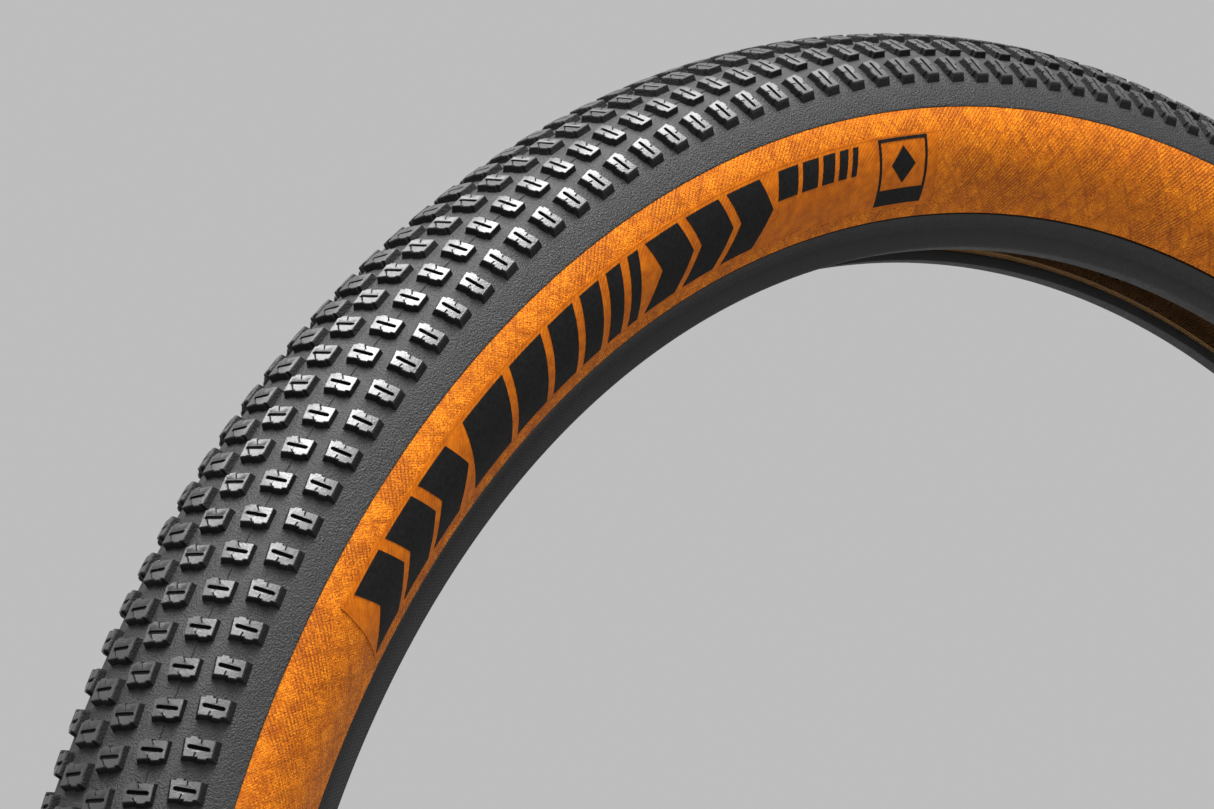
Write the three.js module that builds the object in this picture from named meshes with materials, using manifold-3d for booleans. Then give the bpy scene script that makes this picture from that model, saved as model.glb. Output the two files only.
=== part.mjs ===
// Bicycle tyre, 57-559 (26 x 2.25), a low-block dirt tyre with amber sidewalls.
//
// Millimetres. The origin is the wheel's centre, the wheel turns about Y and
// +Z is up, so the left sidewall is on the -Y side and the right one on +Y.
//
// The tyre is a stack of rings. Every ring is one closed outline in the (r, y)
// half plane, turned about Y. Across the tyre a place is given by its section
// angle: 0 at the crown, negative towards the left bead, positive to the right.
import * as THREE from 'three';
import Module from 'manifold-3d';
import { mergeVertices } from 'three/addons/utils/BufferGeometryUtils.js';

// ---- driving dimensions ----------------------------------------------------
const SECTION_CENTRE = 310.5;     // wheel centre to the centre of the tyre's section
const BLOCK_TOP = 30.5;           // section radius over the tread blocks
const TREAD_SURFACE = 28.65;      // section radius of the rubber between the blocks
const SHOULDER_SURFACE = 28.2;    // section radius of the plain band outside the blocks
const WALL_SURFACE = 28.0;        // section radius of the amber sidewall
const BEAD_SEAT = 279.5;          // radius of the bead's base, 559 mm across
const BEAD_FACE = 13.4;           // centre plane to the bead's outer flank
const BEAD_TOE = 8.6;             // centre plane to the bead's inner edge
const RIM_EDGE = 285.3;           // radius of the rim flange that the bead sits behind

const GAP = 0.2;                  // clearance between neighbouring layers
const TREAD_CAP = 1.35;           // rubber under the grooves
const BELT = 0.5;                 // puncture belt
const PLY = 0.6;                  // one casing ply
const CHAFER = 0.5;               // rim strip
const BEAD_WIRE = 1.05;           // radius of the wire bundle
const LABEL = 0.3;                // printed label on the sidewall

// Block rows from the crown out, and how wide the blocks are across the tread.
const BLOCK_ROWS = [0, 18.5, 37, 55.5];
const BLOCK_WIDTHS = [8.2, 6.9, 6.9, 6.9];
const DRAFT = 0.45;               // how far a block's wall leans out at its foot

// Places across the tyre, as section angles.
const COMPOUND_EDGE = 27.75;      // where the centre rubber meets the shoulder rubber
const BELT_EDGE = 44;             // the edge of the belt
const PLAIN_BAND = 72.5;          // where the shoulder's plain band is fully lowered
const TREAD_EDGE = 79.5;          // where the tread's edge meets the sidewall
const LABEL_EDGE = 92;            // the label's upper edge
const BEAD_TURN = 127;            // where the wall and the plies leave their arcs for the bead

const LABEL_SPAN = [103, 150.2];  // angles about the wheel that the label covers

const SEGMENTS = 48;              // steps round the wheel
const STATIONS = [0, 14, COMPOUND_EDGE, BELT_EDGE, 61, TREAD_EDGE, LABEL_EDGE, 110, BEAD_TURN];
const WIRE_SIDES = 6;             // sides of the wire bundle's outline

// ---- outlines --------------------------------------------------------------
const radians = THREE.MathUtils.degToRad;
const point = (r, y) => new THREE.Vector2(r, y);

// The angle that a distance covers on an arc.
const subtends = (distance, radius) => THREE.MathUtils.radToDeg(distance / radius);

function onSection(radius, angle) {
  const a = radians(angle);
  return point(SECTION_CENTRE + radius * Math.cos(a), radius * Math.sin(a));
}

// Every arc bends at the same stations, so that nested layers stay parallel. A
// station too near an end of the arc is left out.
function arc(radius, from, to) {
  const nearest = 1;
  const both = [...STATIONS.slice(1).map((a) => -a).reverse(), ...STATIONS];
  const between = both.filter((a) => a > from + nearest && a < to - nearest);
  return [from, ...between, to].map((a) => onSection(radius, a));
}

// The same path on the other side of the centre plane, still running left to right.
function mirrored(path) {
  return path.map((p) => point(p.x, -p.y)).reverse();
}

// A path moved sideways by a distance, towards the air chamber when it is positive.
function offset(path, distance) {
  const normals = path.slice(1).map((p, i) => {
    const along = p.clone().sub(path[i]).normalize();
    return point(-along.y, along.x);
  });
  return path.map((p, i) => {
    const before = normals[Math.max(i - 1, 0)];
    const after = normals[Math.min(i, normals.length - 1)];
    const mitre = before.clone().add(after);
    return p.clone().add(mitre.multiplyScalar(distance / (1 + before.dot(after))));
  });
}

// A closed outline between an outer path and a parallel one inside it.
function layer(path, thickness) {
  return [...path, ...offset(path, thickness).reverse()];
}

// ---- solids ----------------------------------------------------------------
function ring(outline) {
  return new THREE.LatheGeometry([...outline, outline[0].clone()], SEGMENTS);
}

function part(name, geometry, material) {
  const mesh = new THREE.Mesh(geometry, new THREE.MeshStandardMaterial(material));
  mesh.name = name;
  return mesh;
}

const wasm = await Module();
wasm.setup();

function toSolid(geometry) {
  const bare = geometry.clone().deleteAttribute('normal').deleteAttribute('uv');
  const merged = mergeVertices(bare, 1e-3);
  return new wasm.Manifold(new wasm.Mesh({
    numProp: 3,
    vertProperties: new Float32Array(merged.attributes.position.array),
    triVerts: new Uint32Array(merged.index.array),
  }));
}

function toGeometry(solid) {
  const mesh = solid.getMesh();
  const geometry = new THREE.BufferGeometry();
  geometry.setAttribute('position', new THREE.BufferAttribute(mesh.vertProperties, 3));
  geometry.setIndex(new THREE.BufferAttribute(mesh.triVerts, 1));
  geometry.computeVertexNormals();
  return geometry;
}

// A wedge of the wheel between two angles, thick enough to cut any ring.
function wedge([from, to]) {
  const reach = SECTION_CENTRE * 1.5;
  const middle = (from + to) / 2;
  const shape = new THREE.Shape();
  shape.moveTo(0, 0);
  for (const angle of [from, middle, to]) {
    shape.lineTo(reach * Math.cos(radians(angle)), reach * Math.sin(radians(angle)));
  }
  const depth = 4 * WALL_SURFACE;
  const geometry = new THREE.ExtrudeGeometry(shape, { depth, bevelEnabled: false });
  return geometry.translate(0, 0, -depth / 2).rotateX(Math.PI / 2);
}

// ---- materials -------------------------------------------------------------
const BLACK_RUBBER = { color: 0x1c1c1d, roughness: 0.72, metalness: 0 };
const SHOULDER_RUBBER = { color: 0x171718, roughness: 0.76, metalness: 0 };
const AMBER_RUBBER = { color: 0xb8650f, roughness: 0.62, metalness: 0 };
const LABEL_FILM = { color: 0x9c520d, roughness: 0.5, metalness: 0 };
const CASING_CORD = { color: 0x8a5a2c, roughness: 0.85, metalness: 0 };
const BELT_CORD = { color: 0xb89a3c, roughness: 0.8, metalness: 0 };
const RIM_STRIP = { color: 0x242322, roughness: 0.85, metalness: 0 };
const BEAD_STEEL = { color: 0x9a8a62, roughness: 0.4, metalness: 0.9 };
const FILLER_RUBBER = { color: 0x2a2724, roughness: 0.8, metalness: 0 };

// ---- tread -----------------------------------------------------------------
// One rib stands for a row of blocks: as wide and as tall as they are.
function rib(angle, width) {
  const half = subtends(width / 2, BLOCK_TOP);
  const foot = subtends(width / 2 + DRAFT, BLOCK_TOP);
  return [
    onSection(TREAD_SURFACE, angle - foot),
    onSection(BLOCK_TOP, angle - half),
    onSection(BLOCK_TOP, angle + half),
    onSection(TREAD_SURFACE, angle + foot),
  ];
}

const TREAD_INSIDE = TREAD_SURFACE - TREAD_CAP;

function treadCentre() {
  const [crown, first] = BLOCK_ROWS;
  const outer = [
    onSection(TREAD_SURFACE, -COMPOUND_EDGE),
    ...rib(-first, BLOCK_WIDTHS[1]),
    ...rib(crown, BLOCK_WIDTHS[0]),
    ...rib(first, BLOCK_WIDTHS[1]),
    onSection(TREAD_SURFACE, COMPOUND_EDGE),
  ];
  return [...outer, ...arc(TREAD_INSIDE, -COMPOUND_EDGE, COMPOUND_EDGE).reverse()];
}

function treadShoulder() {
  const joint = COMPOUND_EDGE + subtends(GAP, TREAD_SURFACE);
  const outer = [
    onSection(TREAD_SURFACE, joint),
    ...rib(BLOCK_ROWS[2], BLOCK_WIDTHS[2]),
    ...rib(BLOCK_ROWS[3], BLOCK_WIDTHS[3]),
    onSection(SHOULDER_SURFACE, PLAIN_BAND),
    onSection(SHOULDER_SURFACE, TREAD_EDGE),
  ];
  return [...outer, ...arc(TREAD_INSIDE, joint, TREAD_EDGE).reverse()];
}

// ---- belt and casing -------------------------------------------------------
const BELT_OUTSIDE = TREAD_INSIDE - GAP;
const PLY_OUTSIDE = BELT_OUTSIDE - BELT - GAP;
const INNER_PLY_OUTSIDE = PLY_OUTSIDE - PLY - GAP;
const PLY_FOOT = BEAD_SEAT + 0.95;              // where both plies end, above the seat
const BEAD_SHOULDER = RIM_EDGE - 0.3;           // where the outer ply straightens
const INNER_SHOULDER = BEAD_SHOULDER - 0.8;     // where the inner ply straightens

function punctureBelt() {
  return layer(arc(BELT_OUTSIDE, -BELT_EDGE, BELT_EDGE), BELT);
}

// The outer ply comes down outside the bead wire, behind the rim strip.
const OUTER_LEG = BEAD_FACE - CHAFER - GAP;

function outerPlyPath() {
  const leg = [point(BEAD_SHOULDER, OUTER_LEG), point(PLY_FOOT, OUTER_LEG)];
  return [...mirrored(leg), ...arc(PLY_OUTSIDE, -BEAD_TURN, BEAD_TURN), ...leg];
}

// The inner ply comes down inside the wire, so the pair hold it between them.
const INNER_LEG = BEAD_TOE + CHAFER + GAP + PLY;

function innerPlyPath() {
  const leg = [point(INNER_SHOULDER, INNER_LEG), point(PLY_FOOT, INNER_LEG)];
  return [...mirrored(leg), ...arc(INNER_PLY_OUTSIDE, -BEAD_TURN, BEAD_TURN), ...leg];
}

// ---- sidewall, bead and rim strip, each for the right side -----------------
// The outside of the outer ply below its arc, with clearance, from the arc down.
const [PLY_BEND, PLY_SHOULDER] = offset(outerPlyPath(), -GAP).slice(-3);
const downThePly = (share) => PLY_BEND.clone().lerp(PLY_SHOULDER, share);
const WALL_END = point(RIM_EDGE + 2.85, BEAD_FACE + 4.65);
const WALL_FOOT = downThePly(0.5);

function sidewall() {
  const start = TREAD_EDGE + subtends(1.5 * GAP, WALL_SURFACE);
  const outer = [...arc(WALL_SURFACE, start, BEAD_TURN), WALL_END];
  const inner = [...arc(PLY_OUTSIDE + GAP, start, BEAD_TURN), WALL_FOOT];
  return [...outer, ...inner.reverse()];
}

// The strip wraps the bead, from under the sidewall's end, round the seat, to the toe.
const STRIP_TOP = point(RIM_EDGE + 2.5, BEAD_FACE + 4.1);
const STRIP_HEAD = downThePly(0.56);
const HEEL_BEVEL = 0.6;           // the corner between the bead's flank and its seat
const TOE_HEIGHT = 3.2;           // how far the strip climbs inside the bead

function rimStrip() {
  return [
    STRIP_TOP,
    point(RIM_EDGE + 0.35, BEAD_FACE + 0.8),
    point(RIM_EDGE - 0.7, BEAD_FACE),
    point(BEAD_SEAT + HEEL_BEVEL, BEAD_FACE),
    point(BEAD_SEAT, BEAD_FACE - HEEL_BEVEL),
    point(BEAD_SEAT, BEAD_TOE),
    point(BEAD_SEAT + TOE_HEIGHT, BEAD_TOE),
    point(BEAD_SEAT + TOE_HEIGHT, BEAD_TOE + CHAFER),
    point(BEAD_SEAT + CHAFER, BEAD_TOE + CHAFER),
    point(BEAD_SEAT + CHAFER, BEAD_FACE - CHAFER),
    PLY_SHOULDER,
    STRIP_HEAD,
  ];
}

const WIRE_Y = (OUTER_LEG - PLY + INNER_LEG) / 2;
const WIRE_R = PLY_FOOT + BEAD_WIRE + GAP / 2;

function beadWire() {
  const outline = [];
  for (let i = 0; i < WIRE_SIDES; i += 1) {
    const a = radians(360 * (i + 0.5) / WIRE_SIDES);
    outline.push(point(WIRE_R + BEAD_WIRE * Math.cos(a), WIRE_Y + BEAD_WIRE * Math.sin(a)));
  }
  return outline;
}

// A rubber wedge that fills the fork between the two plies above the wire.
const WEDGE_HEIGHTS = [1.0, 2.5]; // its inner and outer faces

function beadFiller() {
  const foot = WIRE_R + BEAD_WIRE + GAP;
  const innerFace = INNER_LEG + GAP;
  const outerFace = OUTER_LEG - PLY - GAP;
  return [
    point(foot, innerFace),
    point(foot + WEDGE_HEIGHTS[0], innerFace),
    point(foot + WEDGE_HEIGHTS[1], outerFace),
    point(foot, outerFace),
  ];
}

// ---- label -----------------------------------------------------------------
// The right label, cut from a full ring. The left one is its mirror image.
const LABEL_OUTSIDE = WALL_SURFACE + LABEL + GAP / 2;
const labelRing = ring(layer(arc(LABEL_OUTSIDE, LABEL_EDGE, BEAD_TURN), LABEL));
const rightLabel = toSolid(labelRing).intersect(toSolid(wedge(LABEL_SPAN)));
const leftLabel = rightLabel.mirror([0, 1, 0]);

// ---- assembly --------------------------------------------------------------
const tyre = new THREE.Group();
tyre.add(part('tread_centre', ring(treadCentre()), BLACK_RUBBER));
tyre.add(part('puncture_belt', ring(punctureBelt()), BELT_CORD));
tyre.add(part('casing_ply_outer', ring(layer(outerPlyPath(), PLY)), CASING_CORD));
tyre.add(part('casing_ply_inner', ring(layer(innerPlyPath(), PLY)), CASING_CORD));

for (const [side, name] of [[-1, 'left'], [1, 'right']]) {
  const turned = (outline) => ring(side > 0 ? outline : mirrored(outline));
  tyre.add(part(`tread_shoulder_${name}`, turned(treadShoulder()), SHOULDER_RUBBER));
  tyre.add(part(`sidewall_${name}`, turned(sidewall()), AMBER_RUBBER));
  tyre.add(part(`rim_strip_${name}`, turned(rimStrip()), RIM_STRIP));
  tyre.add(part(`bead_wire_${name}`, turned(beadWire()), BEAD_STEEL));
  tyre.add(part(`bead_filler_${name}`, turned(beadFiller()), FILLER_RUBBER));
  tyre.add(part(`label_${name}`, toGeometry(side > 0 ? rightLabel : leftLabel), LABEL_FILM));
}

export default tyre;
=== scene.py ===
"""A bicycle tyre, 57-559, with low dirt blocks and amber sidewalls, for Blender 4.5.

Lengths below are in millimetres and angles in degrees, unless a name says otherwise.
They become metres where a mesh is made. The wheel's centre is the origin, the wheel
turns about Y and +Z is up. A place on the tyre is given by its wheel angle (theta,
from +X towards +Z), its section angle (phi, 0 at the crown, negative towards the
left bead at -Y) and its section radius (rho, from the centre of the section).
"""

import math

import bpy
import numpy as np
from mathutils import Matrix, Vector
from mathutils.geometry import delaunay_2d_cdt

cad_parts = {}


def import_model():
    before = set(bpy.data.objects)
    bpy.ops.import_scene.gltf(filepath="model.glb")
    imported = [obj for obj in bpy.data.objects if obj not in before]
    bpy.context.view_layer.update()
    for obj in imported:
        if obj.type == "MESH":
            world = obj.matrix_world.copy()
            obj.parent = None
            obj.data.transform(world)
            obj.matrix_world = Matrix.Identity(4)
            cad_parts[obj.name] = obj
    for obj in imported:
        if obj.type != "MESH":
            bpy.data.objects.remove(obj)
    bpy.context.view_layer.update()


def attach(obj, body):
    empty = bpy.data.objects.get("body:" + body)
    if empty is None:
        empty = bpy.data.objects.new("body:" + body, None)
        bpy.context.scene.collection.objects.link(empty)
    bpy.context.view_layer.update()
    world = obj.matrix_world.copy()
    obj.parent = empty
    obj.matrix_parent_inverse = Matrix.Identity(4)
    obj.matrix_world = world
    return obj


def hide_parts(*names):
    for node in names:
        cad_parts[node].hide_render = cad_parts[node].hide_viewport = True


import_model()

MM = 0.001

# ---- the tyre's section, as in the CAD model ----
SECTION_CENTRE = 310.5  # distance of the section's centre from the axle
BLOCK_TOP = 30.5        # section radii of the tops and the three outer surfaces
TREAD_SURFACE = 28.65
SHOULDER_SURFACE = 28.2
WALL_SURFACE = 28.0
BEAD_SEAT = 279.5       # wheel radius under the bead
BEAD_FACE = 13.4        # distance of the bead's outer face from the middle plane
BEAD_TOE = 8.6
RIM_EDGE = 285.3        # wheel radius of the rim's lip
GAP = 0.2               # between layers, so that none touch
TREAD_CAP = 1.35        # thicknesses of the layers
BELT = 0.5
PLY = 0.6
CHAFER = 0.5
BEAD_WIRE = 1.05        # radius of the wire bundle
COMPOUND_EDGE = 27.75   # section angles where the parts of the section end
TREAD_EDGE = 79.5
BELT_EDGE = 44.0
BEAD_TURN = 127.0
PLY_ABOVE_SEAT = 0.95
WIRE_ROOM = 0.1

TREAD_INSIDE = TREAD_SURFACE - TREAD_CAP
BELT_OUTSIDE = TREAD_INSIDE - GAP
PLY_OUTSIDE = BELT_OUTSIDE - BELT - GAP
INNER_PLY_OUTSIDE = PLY_OUTSIDE - PLY - GAP
PLY_FOOT = BEAD_SEAT + PLY_ABOVE_SEAT
OUTER_LEG = BEAD_FACE - CHAFER - GAP
INNER_LEG = BEAD_TOE + CHAFER + GAP + PLY
BEAD_SHOULDER = RIM_EDGE - 0.3
WIRE_R = PLY_FOOT + BEAD_WIRE + WIRE_ROOM
WIRE_Y = (OUTER_LEG - PLY + INNER_LEG) / 2

# ---- the block pattern ----
BLOCKS_ROUND = 205
PITCH = 360.0 / BLOCKS_ROUND
FIRST_BLOCK = 160.81    # wheel angle of a block in the rows with phase 0
BLOCK_HEIGHT = BLOCK_TOP - TREAD_SURFACE

RING_STEPS = 2 * BLOCKS_ROUND
ARC_STEP = 2.0
SHARP_ANGLE = math.radians(28)  # edges that bend more than this are shaded sharp


# ---- outlines in the (r, y) half plane ----
def on_section(rho, phi):
    a = math.radians(phi)
    return np.array([SECTION_CENTRE + rho * math.cos(a), rho * math.sin(a)])


def arc(rho, start, end, step=ARC_STEP):
    count = max(2, int(round(abs(end - start) / step)) + 1)
    return [on_section(rho, phi) for phi in np.linspace(start, end, count)]


def mirrored(path):
    return [np.array([p[0], -p[1]]) for p in reversed(path)]


def offset(path, distance):
    """The path moved sideways, towards the air chamber when distance is positive."""
    points = np.array(path)
    along = np.diff(points, axis=0)
    along /= np.linalg.norm(along, axis=1)[:, None]
    normals = np.stack([-along[:, 1], along[:, 0]], axis=1)
    before = np.vstack([normals[:1], normals])
    after = np.vstack([normals, normals[-1:]])
    scale = distance / (1 + (before * after).sum(axis=1))
    return list(points + (before + after) * scale[:, None])


def layer(path, thickness):
    return list(path) + offset(path, thickness)[::-1]


def rounded(outline, radius, steps=3):
    """A closed outline with each corner cut to a short curve."""
    points = [np.array(p, float) for p in outline]
    result = []
    for i, corner in enumerate(points):
        before = points[i - 1] - corner
        after = points[(i + 1) % len(points)] - corner
        reach_b = min(radius, 0.4 * np.linalg.norm(before))
        reach_a = min(radius, 0.4 * np.linalg.norm(after))
        start = corner + before / np.linalg.norm(before) * reach_b
        end = corner + after / np.linalg.norm(after) * reach_a
        for t in np.linspace(0, 1, steps):
            result.append((1 - t) ** 2 * start + 2 * t * (1 - t) * corner + t * t * end)
    return result


# ---- meshes ----
class Mesh:
    """Vertices in metres, faces as index lists, one UV per face corner, in mm."""

    def __init__(self):
        self.verts = []
        self.faces = []
        self.uvs = []
        self.shade = []
        self.wear_and_painted_light = []
        self.count = 0

    def add(self, verts, faces, uvs, shade=0.0, wear_and_painted_light=0.0):
        verts = np.asarray(verts, float)
        self.verts.append(verts)
        self.faces.extend([tuple(int(i) + self.count for i in face) for face in faces])
        self.uvs.append(np.asarray(uvs, float))
        self.shade.append(np.broadcast_to(np.asarray(shade, float), (len(verts),)))
        self.wear_and_painted_light.append(np.broadcast_to(np.asarray(wear_and_painted_light, float), (len(verts),)))
        self.count += len(verts)
        return self


def to_space(theta, rho, phi):
    """Positions in metres of points given by wheel angle, section radius and section angle."""
    theta = np.radians(theta)
    phi = np.radians(phi)
    r = SECTION_CENTRE + rho * np.cos(phi)
    return MM * np.stack([r * np.cos(theta), rho * np.sin(phi), r * np.sin(theta)], axis=-1)


UV_SEAM = -90.0         # wheel angle where the two ends of the UV map meet


def lathe(mesh, outline, steps=RING_STEPS):
    """Turns a closed outline all the way round and adds it to the mesh."""
    points = np.array(outline)
    n = len(points)
    theta = np.radians(UV_SEAM + 360.0 * np.arange(steps) / steps)
    r, y = points[:, 0], points[:, 1]
    x = np.cos(theta)[:, None] * r[None]
    z = np.sin(theta)[:, None] * r[None]
    verts = MM * np.stack([x, np.broadcast_to(y, x.shape), z], axis=-1).reshape(-1, 3)
    closed = np.vstack([points, points[:1]])
    across = np.concatenate([[0], np.cumsum(np.linalg.norm(np.diff(closed, axis=0), axis=1))])
    step_length = 2 * math.pi * SECTION_CENTRE / steps
    i, j = np.meshgrid(np.arange(steps), np.arange(n), indexing="ij")
    i, j = i.ravel(), j.ravel()
    i2, j2 = (i + 1) % steps, (j + 1) % n
    faces = np.stack([i * n + j, i * n + j2, i2 * n + j2, i2 * n + j], axis=1)
    u0, u1 = i * step_length, (i + 1) * step_length
    v0, v1 = across[j], across[j + 1]
    corners = [u0, v0, u0, v1, u1, v1, u1, v0]
    uvs = np.stack(corners, axis=1).reshape(-1, 2)
    area = 0.5 * np.sum(r * np.roll(y, -1) - np.roll(r, -1) * y)
    if area < 0:
        faces = faces[:, ::-1]
        uvs = uvs.reshape(-1, 4, 2)[:, ::-1].reshape(-1, 2)
    return mesh.add(verts, faces, uvs)


def turned(outline, side):
    """A ring from an outline drawn on the right side, mirrored for the left (side -1)."""
    return lathe(Mesh(), outline if side > 0 else mirrored(outline))


def build(name, mesh, material, nodes=()):
    """Makes one piece that stands in for the CAD model's nodes."""
    data = bpy.data.meshes.new(name)
    data.from_pydata(np.vstack(mesh.verts).tolist(), [], mesh.faces)
    layer_uv = data.uv_layers.new(name="UVMap")
    layer_uv.data.foreach_set("uv", np.vstack(mesh.uvs).astype(np.float32).ravel())
    for key, values in (("shade", mesh.shade), ("wear_and_painted_light", mesh.wear_and_painted_light)):
        attribute = data.attributes.new(key, "FLOAT", "POINT")
        attribute.data.foreach_set("value", np.concatenate(values).astype(np.float32))
    data.materials.append(material)
    data.shade_smooth()
    data.set_sharp_from_angle(angle=SHARP_ANGLE)
    data.validate()
    piece = bpy.data.objects.new(name, data)
    bpy.context.scene.collection.objects.link(piece)
    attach(piece, "root")
    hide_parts(*nodes)
    return piece


EDGE_ROOM = 0.45        # share of the spacing kept clear along the edges of a filled shape


def fill(loops, spacing=None):
    """Triangles that cover the first loop less the others. Returns 2-D points and triangles."""
    points, edges = [], []
    for loop in loops:
        first = len(points)
        points.extend([Vector((float(p[0]), float(p[1]))) for p in loop])
        edges.extend([(first + k, first + (k + 1) % len(loop)) for k in range(len(loop))])
    if spacing:
        outer = np.array(loops[0])
        low, high = outer.min(0), outer.max(0)
        for a in np.arange(low[0] + spacing / 2, high[0], spacing):
            for b in np.arange(low[1] + spacing / 2, high[1], spacing):
                if all(edge_distance(loop, a, b) > EDGE_ROOM * spacing for loop in loops):
                    points.append(Vector((float(a), float(b))))
    flat, _, triangles, origins, _, _ = delaunay_2d_cdt(points, edges, [], 0, 1e-6)
    index = [found[0] for found in origins]
    kept = []
    for triangle in triangles:
        centre = sum((flat[k] for k in triangle), Vector((0, 0))) / 3
        if inside(loops, centre.x, centre.y):
            kept.append([index[k] for k in triangle])
    return np.array([[p.x, p.y] for p in points]), kept


def inside(loops, a, b):
    """Whether the point (a, b) lies in the first loop and in none of the others."""
    crossings = 0
    for loop in loops:
        for p, q in zip(loop, list(loop[1:]) + [loop[0]]):
            if (p[1] > b) != (q[1] > b):
                crossings += a < p[0] + (b - p[1]) / (q[1] - p[1]) * (q[0] - p[0])
    return crossings % 2 == 1


def edge_distance(loop, a, b):
    """How far the point (a, b) is from a closed loop."""
    p = np.array(loop)
    q = np.roll(p, -1, axis=0)
    d = q - p
    t = ((np.array([a, b]) - p) * d).sum(1) / np.maximum((d * d).sum(1), 1e-12)
    nearest = p + d * np.clip(t, 0, 1)[:, None]
    return float(np.linalg.norm(nearest - [a, b], axis=1).min())


# ---- one tread block ----
# A block's outline is drawn in (v, u): v runs across the tyre towards the near
# sidewall, u runs round the wheel towards larger wheel angles. Heights are over the
# tread's surface.
class Block:
    """The rows at 37 degrees. Each sipe is (v of its mouth, its inner end as (v, u))."""

    corners = [(-3.50, -1.40), (3.01, -2.75), (3.29, 1.46), (-2.78, 2.86)]
    lead_tab = (-2.60, -0.84)
    trail_tab = (2.35, 0.40)
    tab = 0.46
    lead_sipe = (-0.65, (0.05, -1.05))
    trail_sipe = (-0.03, (-0.67, 1.60))
    slot = ((-2.08, 0.30), (2.10, -0.20))
    sipe_meets_slot = None
    flash = [((0.0, -1.10), (-0.17, -0.30)), ((-0.30, 0.42), (-0.55, 1.45))]
    lean = 0.0


class InnerBlock(Block):
    """The rows at 18.5 degrees, whose trailing sipe runs into the slot."""

    corners = [(-3.40, -1.72), (2.95, -3.00), (3.18, 1.74), (-2.72, 3.14)]
    trail_sipe = (-0.18, None)
    sipe_meets_slot = -1.62
    flash = []


class CrownBlock(Block):
    """The row on the centre line."""

    corners = [(-4.05, -2.55), (4.05, -2.55), (4.05, 2.55), (-4.05, 2.55)]
    lead_tab = (-3.0, -0.84)
    trail_tab = (3.0, 0.84)
    trail_sipe = (-0.20, None)
    slot = ((-2.5, 0.0), (2.5, 0.0))
    sipe_meets_slot = -1.80
    flash = []


class OuterBlock(Block):
    """The rows at 55.5 degrees, whose outer wall leans out."""

    lead_sipe = (0.05, (0.20, -1.15))
    trail_sipe = (-0.55, (-0.40, 1.30))
    flash = []
    lean = 1.35


SIPE_WIDTH = 0.26
SIPE_DEPTH = 0.55
SIPE_POINT = 0.8        # how far a sipe's end comes to a point, in half widths
SIPE_MOUTH = 0.24       # half the opening where a sipe meets the slot
SLOT_HALF_WIDTH = 0.50
SLOT_DEPTH = 1.0
SLOT_BEVEL = 0.07       # how much wider the slot is at its rim
SLOT_RIM_DEPTH = 0.08
SLOT_TAPER = 0.05       # how much narrower the slot is at its floor
EDGE_BEVEL = 0.13
TAB_SLOPE = 0.12        # length along the edge over which a tab rises
TAB_ROUNDING = 0.10
TAB_CLEARANCE = 0.05
TOP_SPACING = 1.5       # distance between points inside a block's top
OUTER_SIDE = 2.9        # v beyond which a leaning wall leans
FLASH_HALF_WIDTH = 0.07
FLASH_HEIGHT = 0.06
FLASH_SINK = 0.03
WALL_DRAFT = 0.42
FOOT_FLARE = 0.16
FOOT_HEIGHT = 0.28
FOOT_DEPTH = 0.15
MITRE_LIMIT = 0.35      # keeps sharp corners from reaching too far


def on_edge(a, b, v):
    """The point of the line a-b at v."""
    return np.array([v, a[1] + (b[1] - a[1]) * (v - a[0]) / (b[0] - a[0])])


def sipe_tip(mouth_v, end, inwards):
    """The three points round the inner end of a sipe that runs inwards (1 or -1 in u)."""
    end = np.array(end)
    mouth = np.array([mouth_v, end[1] - inwards])
    along = (end - mouth) / np.linalg.norm(end - mouth)
    across = np.array([along[1], -along[0]]) * SIPE_WIDTH / 2
    return end - across, end + along * SIPE_WIDTH / 2 * SIPE_POINT, end + across


class Outline:
    """A block's outline while it is being drawn."""

    def __init__(self):
        self.points = []
        self.hidden = []

    def put(self, *found, inner=False):
        for p in found:
            self.points.append(np.asarray(p, float))
            self.hidden.append(inner)


def leading_edge(outline, kind, a, b):
    """From a to b: a tab, then a sipe that may cut the tab's end."""
    half = SIPE_WIDTH / 2
    step = np.array([0, kind.tab])
    tab_from, tab_to = kind.lead_tab
    mouth, end = kind.lead_sipe
    outline.put(a, on_edge(a, b, tab_from), on_edge(a, b, tab_from + TAB_SLOPE) - step)
    if mouth - half > tab_to + TAB_CLEARANCE:
        outline.put(on_edge(a, b, tab_to - TAB_ROUNDING) - step, on_edge(a, b, tab_to))
        outline.put(on_edge(a, b, mouth - half))
    else:
        outline.put(on_edge(a, b, mouth - half) - step)
    outline.put(*sipe_tip(mouth, end, 1), inner=True)
    outline.put(on_edge(a, b, mouth + half), on_edge(a, b, (mouth + b[0]) / 2), b)


def trailing_edge(outline, kind, c, d):
    """From c to d: a tab, then a sipe that ends inside or runs into the slot."""
    half = SIPE_WIDTH / 2
    step = np.array([0, kind.tab])
    tab_from, tab_to = kind.trail_tab
    mouth, end = kind.trail_sipe
    outline.put(c, on_edge(c, d, tab_from), on_edge(c, d, tab_from - TAB_SLOPE) + step)
    outline.put(on_edge(c, d, tab_to + TAB_SLOPE) + step, on_edge(c, d, tab_to))
    outline.put(on_edge(c, d, mouth + half))
    if kind.sipe_meets_slot is None:
        outline.put(*sipe_tip(mouth, end, -1), inner=True)
    else:
        around = capsule(*kind.slot, SLOT_HALF_WIDTH)[::-1]
        first = on_edge(around[0], around[-1], kind.sipe_meets_slot + SIPE_MOUTH)
        last = on_edge(around[0], around[-1], kind.sipe_meets_slot - SIPE_MOUTH)
        outline.put(first, *around, last, inner=True)
    outline.put(on_edge(c, d, mouth - half), d)


def block_outline(kind):
    """Points of the outline in order, and which of them lie inside a sipe."""
    a, b, c, d = [np.array(p) for p in kind.corners]
    outline = Outline()
    leading_edge(outline, kind, a, b)
    trailing_edge(outline, kind, c, d)
    return np.array(outline.points), np.array(outline.hidden)


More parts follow.
